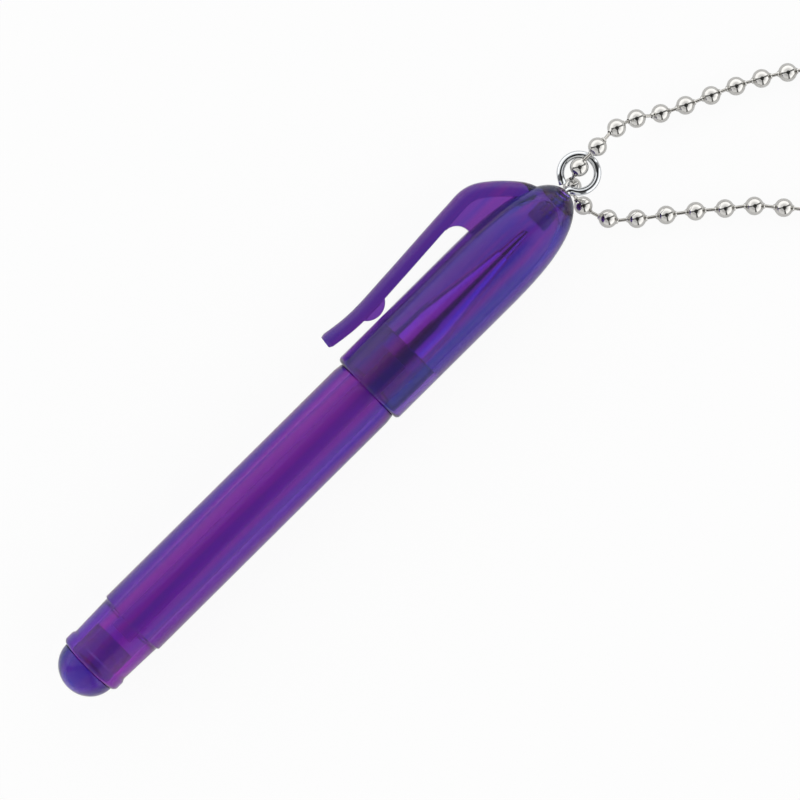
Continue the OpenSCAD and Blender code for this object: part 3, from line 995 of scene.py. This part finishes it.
@dataclass
class WritingUnit:
    """Metal nose cone and the refill that it holds, with its point and ball."""

    spigot_x: float = 29.1
    collar_len: float = 2.2
    collar_r: float = 3.08
    nose_r: float = 2.8
    kink_x: float = 33.6
    kink_r: float = 2.7
    front_x: float = 45.6
    front_r: float = 1.0
    bore_r: float = 1.55
    step_r: float = 1.15
    mouth_r: float = 0.85
    tube_x: float = -21.95
    tube_r: float = 1.5
    tube_bore_r: float = 1.0
    ink_x: float = -19.45
    shank_x: float = 35.05
    shank_r: float = 0.98
    point_x: float = 38.05
    point_r: float = 1.1
    taper_x: float = 41.05
    neck_x: float = 45.55
    neck_r: float = 0.8
    ball_x: float = 49.65
    socket_r: float = 0.37
    lip_hole_r: float = 0.336
    lip_wall: float = 0.07
    channel_r: float = 0.2
    play: float = 0.05
    # How deep the ink's rear face sinks in
    ink_sag: float = 0.5
    # Roundings of sharp edges, steps and sides, and the angles that shade as edges
    nose_round: float = 0.06
    tube_round: float = 0.08
    point_round: float = 0.03
    arc_steps: int = 10
    sides: int = 64
    nose_sharp: float = 4.0
    point_sharp: float = 20.0

    def nose(self) -> Object:
        """Turned nose cone: a collar pressed into the barrel, a short steep base and a long taper.

        Returns:
            The piece, undressed.
        """
        rear_x = self.spigot_x - self.collar_len
        outline = [
            (rear_x, self.bore_r),
            (rear_x, self.collar_r),
            (self.spigot_x, self.collar_r),
            (self.spigot_x, self.nose_r),
            (self.kink_x, self.kink_r),
            (self.front_x, self.front_r),
            (self.front_x, self.mouth_r),
            (self.neck_x, self.mouth_r),
            (self.taper_x + self.play, self.step_r),
            (self.point_x + self.play, self.step_r),
            (self.point_x + self.play, self.bore_r),
        ]
        bm = lathe(outline)
        ease_edges(bm, self.nose_round)
        return to_object("nose_cone_turned", bm, self.nose_sharp)

    def tube(self) -> Object:
        """Refill tube, open at its rear end.

        Returns:
            The piece, undressed.
        """
        outline = [
            (self.tube_x, self.tube_bore_r),
            (self.tube_x, self.tube_r),
            (self.point_x, self.tube_r),
            (self.point_x, self.tube_bore_r),
        ]
        bm = lathe(outline, self.sides)
        ease_edges(bm, self.tube_round)
        return to_object("refill_sleeve", bm)

    def ink(self) -> Object:
        """Ink in the tube, hollow at its rear where it clings to the wall.

        Returns:
            The piece, undressed.
        """
        stop_x = self.shank_x - self.play
        radius = (self.shank_r**2 + self.ink_sag**2) / (2 * self.ink_sag)
        half = math.degrees(math.asin(self.shank_r / radius))
        rear = arc((self.ink_x + self.ink_sag - radius, 0), radius, 0, half, self.arc_steps)
        bm = lathe(rear + [(stop_x, self.shank_r), (stop_x, 0)], self.sides, ring=False)
        return to_object("ink_fill", bm)

    def point(self) -> Object:
        """Turned point: a shank in the tube, a shoulder, a taper, a neck and the lip rolled over the ball.

        Returns:
            The piece, undressed.
        """
        lip_reach = math.sqrt(self.socket_r**2 - self.lip_hole_r**2)
        opening = math.degrees(math.asin(self.lip_hole_r / self.socket_r))
        behind = 180 - math.degrees(math.asin(self.channel_r / self.socket_r))
        outline = [
            (self.shank_x, self.channel_r),
            (self.shank_x, self.shank_r),
            (self.point_x, self.shank_r),
            (self.point_x, self.point_r),
            (self.taper_x, self.point_r),
            (self.neck_x, self.neck_r),
            (self.front_x, self.neck_r),
            (self.ball_x + lip_reach, self.lip_hole_r + self.lip_wall),
        ]
        socket = arc((self.ball_x, 0), self.socket_r, opening, behind, self.arc_steps)
        bm = lathe(outline + socket, self.sides)
        ease_edges(bm, self.point_round, keep=lambda e: e.verts[0].co.x < self.front_x * MM)
        return to_object("refill_point", bm, self.point_sharp)

    def build(self) -> None:
        """Builds and dresses the nose, the refill and its ball."""
        turned = PlatedMetal(
            "nickel_plated_turned_brass",
            bright="E6E4E4",
            dull="D2D0D0",
            roughness=(0.14, 0.26),
            mark_mm=0.6,
            stretch=(1.0, 0.05, 0.05),
        )
        silver = PlatedMetal(
            "turned_nickel_silver", bright="D8D2C2", dull="BDB6A4", mark_mm=0.3, stretch=(1.0, 0.05, 0.05)
        )
        carbide = PlatedMetal(
            "ground_carbide", bright="B0B0B4", dull="8E8E94", roughness=(0.2, 0.35), mark_mm=0.05
        )
        natural = NaturalPolypropylene("natural_polypropylene_tube")
        settle(self.nose(), turned, Body.BARREL, Slot.NOSE, "nose_cone")
        settle(self.tube(), natural, Body.BARREL, Slot.REFILL, "refill_tube")
        settle(self.ink(), PasteInk("blue_paste_ink"), Body.BARREL, Slot.INK, "ink_column")
        settle(self.point(), silver, Body.BARREL, Slot.POINT, "point_socket")
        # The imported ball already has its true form, and only takes its finish here
        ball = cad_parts["writing_ball"]
        ball.data.materials.clear()
        ball.data.materials.append(carbide.material())
        LOG.info("writing_ball keeps its packed solid")


@dataclass
class Cap:
    """Moulded cap with its pocket clip, gripping bump and thin web."""

    cap_r: float = 5.31
    bore_r: float = 4.04
    spigot_bore_r: float = 4.49
    mouth_x: float = 21.55
    mouth_round: float = 0.6
    seat_x: float = 29.15
    crown_x: float = 40.5
    crown_len: float = 16.7
    bore_end_x: float = 55.0
    bore_crown: float = 12.0
    # Boss inside the crown that takes the wire eye, and the eye's hole in it
    boss_x: float = 51.5
    boss_r: float = 1.5
    hole_r: float = 0.52
    hole_x: float = 52.85
    clip_t: float = 2.0
    clip_w: float = 3.4
    clip_side: float = 0.9
    # How much narrower the clip's end is than the rest
    tip_ease: float = 0.4
    bump_x: float = 29.25
    bump_y: float = 7.96
    bump_r: float = 2.4
    bump_w: float = 2.0
    bump_cut_y: float = 7.46
    # The web's hollow edge is round about a point on the cap's side
    web_x: float = 42.8
    web_t: float = 2.0
    web_round: float = 1.98
    # The web follows the clip's bend to this far below the cap's side
    web_sink: float = 0.5
    # Middle line of the clip in the plane of the pen and the clip, from its end to its foot
    clip_line: tuple[tuple[float, float], ...] = (
        (21.95, 8.01), (26.85, 7.46), (34.05, 7.793), (44.5, 8.46), (48.1, 8.46), (50.65, 6.96),
        (53.2, 4.31), (54.2, 2.31),
    )
    # How far a cutting tool stands out of what it cuts
    over: float = 1.0
    # Roundings of sharp edges, and the angles from which they count as sharp
    clip_round: float = 0.14
    clip_sharp: float = 40.0
    bump_round: float = 0.25
    bump_sharp: float = 60.0
    # Steps and sides of the curves
    mouth_steps: int = 10
    hole_sides: int = 48
    clip_steps: int = 12
    dome_steps: int = 20
    tip_steps: int = 2
    bump_sides: int = 96
    web_steps: int = 24

    def shell(self) -> Object:
        """Outside of the cap without its clip: rounded mouth, straight side and blunt crown.

        Returns:
            The solid, before its bore is cut.
        """
        lip = (self.mouth_x + self.mouth_round, self.cap_r - self.mouth_round)
        mouth = arc(lip, self.mouth_round, 180, 90, self.mouth_steps)
        outside = crown(self.cap_r, self.crown_x, self.crown_len)
        return to_object("cap_with_clip", lathe([(self.mouth_x, 0)] + mouth + outside, ring=False))

    def core(self) -> Object:
        """Mould core of the bore: a step for the spigot, a taper in the crown and a pocket for the boss.

        Returns:
            The solid that is cut out of the cap.
        """
        start = self.mouth_x - self.over
        step = [(start, 0), (start, self.spigot_bore_r), (self.seat_x, self.spigot_bore_r)]
        step += [(self.seat_x, self.bore_r)]
        taper = crown(self.bore_r, self.bore_end_x - self.bore_crown, self.bore_crown, self.boss_r)
        pocket = [(self.boss_x, self.boss_r), (self.boss_x, 0)]
        return to_object("bore_tool", lathe(step + taper + pocket, ring=False))

    def screw_hole(self) -> Object:
        """Hole for the wire eye, down through the crown into the boss.

        Returns:
            The solid that is cut out of the cap.
        """
        stop = self.crown_x + self.crown_len + self.over
        outline = [(self.hole_x, 0), (self.hole_x, self.hole_r), (stop, self.hole_r), (stop, 0)]
        return to_object("hole_tool", lathe(outline, self.hole_sides, ring=False))

    def clip_path(self) -> list[Vector]:
        """Points along the clip's middle line, in millimetres."""
        return spline([Vector((x, y, 0)) for x, y in self.clip_line], self.clip_steps)

    def clip(self) -> Object:
        """Pocket clip: a bar that is flat inside and domed outside, bent into the crown.

        Returns:
            The bar on its own.
        """
        side, half = self.clip_side - self.clip_t / 2, self.clip_w / 2
        rise = self.clip_t - self.clip_side
        dome = [math.radians(180 * i / self.dome_steps) for i in range(self.dome_steps + 1)]
        section = [(-self.clip_t / 2, half)]
        section += [(rise * math.sin(a) + side, half * math.cos(a)) for a in dome]
        section += [(-self.clip_t / 2, -half)]
        path = self.clip_path()
        bm = bmesh.new()
        rings = []
        for i, p in enumerate(path):
            along = (path[min(i + 1, len(path) - 1)] - path[max(i - 1, 0)]).normalized()
            out = Vector((-along.y, along.x, 0))
            size = 1 - self.tip_ease / self.clip_t * max(0.0, 1 - i / self.tip_steps)
            verts = [bm.verts.new((p + out * u * size + Vector((0, 0, v * size))) * MM) for u, v in section]
            rings.append([bm.edges.new(pair) for pair in zip(verts, verts[1:] + verts[:1])])
        for near, far in zip(rings, rings[1:]):
            bmesh.ops.bridge_loops(bm, edges=near + far)
        for end in (rings[0], rings[-1]):
            bmesh.ops.contextual_create(bm, geom=end)
        tidy(bm)
        ease_edges(bm, self.clip_round, self.clip_sharp)
        return to_object("clip_bar", bm)

    def bump(self) -> Object:
        """Rounded bump under the clip that grips what it is pushed over.

        Returns:
            The bump on its own.
        """
        bm = bmesh.new()
        low = -self.bump_w / 2 * MM
        centre = Matrix.Translation((self.bump_x * MM, self.bump_y * MM, low))
        bmesh.ops.create_circle(
            bm, cap_ends=True, radius=self.bump_r * MM, segments=self.bump_sides, matrix=centre
        )
        bmesh.ops.bisect_plane(
            bm,
            geom=bm.verts[:] + bm.edges[:] + bm.faces[:],
            plane_co=(0, self.bump_cut_y * MM, 0),
            plane_no=(0, 1, 0),
            clear_outer=True,
        )
        self.raise_faces(bm, self.bump_w)
        ease_edges(bm, self.bump_round, self.bump_sharp)
        return to_object("clip_bump", bm)

    def web(self) -> Object:
        """Thin web in the corner between the clip's bend and the crown, with a hollow edge.

        Returns:
            The web on its own.
        """
        bottom = self.cap_r - self.web_sink
        bend = [(p.x, p.y) for p in self.clip_path() if p.x > self.web_x and p.y > bottom]
        low = math.degrees(math.asin((self.bore_r - self.cap_r) / self.web_round))
        hollow = arc((self.web_x, self.cap_r), self.web_round, low, 90, self.web_steps)
        outline = [(self.web_x, bend[0][1])] + bend + [(bend[-1][0], self.bore_r)] + hollow
        bm = bmesh.new()
        bm.faces.new([bm.verts.new((x * MM, y * MM, -self.web_t / 2 * MM)) for x, y in outline])
        self.raise_faces(bm, self.web_t)
        bmesh.ops.triangulate(bm, faces=[f for f in bm.faces if len(f.verts) > 4])
        return to_object("clip_web", bm)

    @staticmethod
    def raise_faces(bm: BMesh, height: float) -> None:
        """Extrudes flat faces upwards into a closed solid.

        Args:
            bm: Mesh that holds only the flat faces.
            height: Height of the solid in millimetres.
        """
        made = bmesh.ops.extrude_face_region(bm, geom=bm.faces[:], use_keep_orig=True)["geom"]
        verts = [v for v in made if isinstance(v, BMVert)]
        bmesh.ops.translate(bm, verts=verts, vec=(0, 0, height * MM))
        tidy(bm)

    def build(self) -> None:
        """Builds and dresses the cap."""
        piece = self.shell()
        for part in (self.clip(), self.bump(), self.web()):
            join(piece, part)
        for tool in (self.core(), self.screw_hole()):
            join(piece, tool, "DIFFERENCE")
        shade(piece.data)
        plastic = MouldedPolystyrene(
            "violet_polystyrene_cap",
            dye="B276DA",
            density=1050.0,
            clear=0.95,
            warm="F8A0F7",
            cool="98A0FC",
        )
        settle(piece, plastic, Body.CAP, Slot.CAP, "cap")


@dataclass
class WireEye:
    """Bent wire eye, screwed into the top of the cap."""

    wire_r: float = 0.5
    start_x: float = 52.9
    eye_x: float = 59.9
    eye_y: float = 0.6
    eye_r: float = 2.35
    bend_r: float = 0.8
    # Angle in degrees at which the loop ends, and the straight end after it
    close: float = 150.0
    free_end: float = 0.9
    end_round: float = 0.12
    end_sharp: float = 50.0
    # Thread: its pitch, height, root in the wire, half width and distance from the shank's end
    pitch: float = 0.7
    thread_depth: float = 0.16
    thread_root: float = 0.04
    thread_half: float = 0.21
    thread_gap: float = 0.1
    thread_turns: int = 5
    turn_steps: int = 24
    sides: int = 28
    bend_steps: int = 10
    loop_steps: int = 96

    def wire(self) -> BMesh:
        """Wire from the end of its shank round the bend and the loop to its free end.

        Returns:
            The closed wire.
        """
        bend_x = self.eye_x - math.sqrt((self.eye_r + self.bend_r) ** 2 - (self.eye_y + self.bend_r) ** 2)
        turn = 90 - math.degrees(math.atan2(self.eye_y + self.bend_r, self.eye_x - bend_x))
        bm = bmesh.new()
        face_x = Matrix.Translation((self.start_x * MM, 0, 0)) @ Matrix.Rotation(math.pi / 2, 4, "Y")
        bmesh.ops.create_circle(
            bm, cap_ends=False, radius=self.wire_r * MM, segments=self.sides, matrix=face_x
        )
        first = bm.edges[:]
        ring = self.push(bm, first, Vector(((bend_x - self.start_x) * MM, 0, 0)))
        ring = self.turn(bm, ring, (bend_x, -self.bend_r), -turn, self.bend_steps)
        # The loop starts at 270 degrees less the bend's turn, seen from its middle, and goes on to its close
        loop = self.close + 360 - (270 - turn)
        ring = self.turn(bm, ring, (self.eye_x, self.eye_y), loop, self.loop_steps)
        a = math.radians(self.close)
        ring = self.push(bm, ring, Vector((-math.sin(a), math.cos(a), 0)) * self.free_end * MM)
        for end in (first, ring):
            bmesh.ops.contextual_create(bm, geom=end)
        tidy(bm)
        ease_edges(bm, self.end_round, self.end_sharp)
        return bm

    @staticmethod
    def push(bm: BMesh, ring: list[BMEdge], way: Vector) -> list[BMEdge]:
        """Extrudes the wire straight on.

        Args:
            bm: Mesh of the wire.
            ring: Edges at the wire's end.
            way: Direction and length in metres.

        Returns:
            Edges at the new end.
        """
        made = bmesh.ops.extrude_edge_only(bm, edges=ring)["geom"]
        fresh = [v for v in made if isinstance(v, BMVert)]
        bmesh.ops.translate(bm, verts=fresh, vec=way)
        return [e for e in made if isinstance(e, BMEdge) and all(v in fresh for v in e.verts)]

    @staticmethod
    def turn(
        bm: BMesh, ring: list[BMEdge], middle: tuple[float, float], angle: float, steps: int
    ) -> list[BMEdge]:
        """Bends the wire round a point in the plane of the eye.

        Args:
            bm: Mesh of the wire.
            ring: Edges at the wire's end.
            middle: Middle of the bend in millimetres.
            angle: Angle of the bend in degrees, anticlockwise.
            steps: Rings along the bend.

        Returns:
            Edges at the new end.
        """
        verts = list({v for e in ring for v in e.verts})
        made = bmesh.ops.spin(
            bm,
            geom=verts + ring,
            cent=(middle[0] * MM, middle[1] * MM, 0),
            axis=(0, 0, 1),
            angle=math.radians(angle),
            steps=steps,
        )["geom_last"]
        return [e for e in made if isinstance(e, BMEdge)]

    def thread(self) -> BMesh:
        """Rolled screw thread round the shank.

        Returns:
            The closed ridge.
        """
        bm = bmesh.new()
        low, high = self.wire_r - self.thread_root, self.wire_r + self.thread_depth
        half = self.thread_half
        start = self.start_x + half + self.thread_gap
        section = [(start - half, low), (start, high), (start + half, low)]
        verts = [bm.verts.new((x * MM, r * MM, 0)) for x, r in section]
        edges = [bm.edges.new(pair) for pair in zip(verts, verts[1:] + verts[:1])]
        bm.faces.new(verts)
        made = bmesh.ops.spin(
            bm,
            geom=verts + edges,
            cent=(0, 0, 0),
            axis=(1, 0, 0),
            dvec=(self.pitch / self.turn_steps * MM, 0, 0),
            angle=2 * math.pi * self.thread_turns,
            steps=self.turn_steps * self.thread_turns,
        )["geom_last"]
        bmesh.ops.contextual_create(bm, geom=[e for e in made if isinstance(e, BMEdge)])
        tidy(bm)
        return bm

    def build(self) -> None:
        """Builds and dresses the eye."""
        bm = self.wire()
        ridge = self.thread()
        add_copy(bm, ridge, Matrix.Identity(4))
        ridge.free()
        drawn = PlatedMetal(
            "nickel_plated_drawn_wire", bright="E2E4E6", dull="C4C8CC", roughness=(0.04, 0.1), mark_mm=0.5
        )
        settle(to_object("wire_eye", bm), drawn, Body.CAP, Slot.WIRE, "eye_screw")


def main() -> None:
    """Builds the camera and the chain first, then the pen and the studio."""
    logging.basicConfig(level=logging.INFO, format="%(name)s: %(message)s")
    studio = Studio()
    studio.camera()
    for group in (BallChain(), Barrel(), WritingUnit(), Cap(), WireEye(), studio):
        LOG.info("building %s", type(group).__name__)
        group.build()


if __name__ == "__main__":
    main()
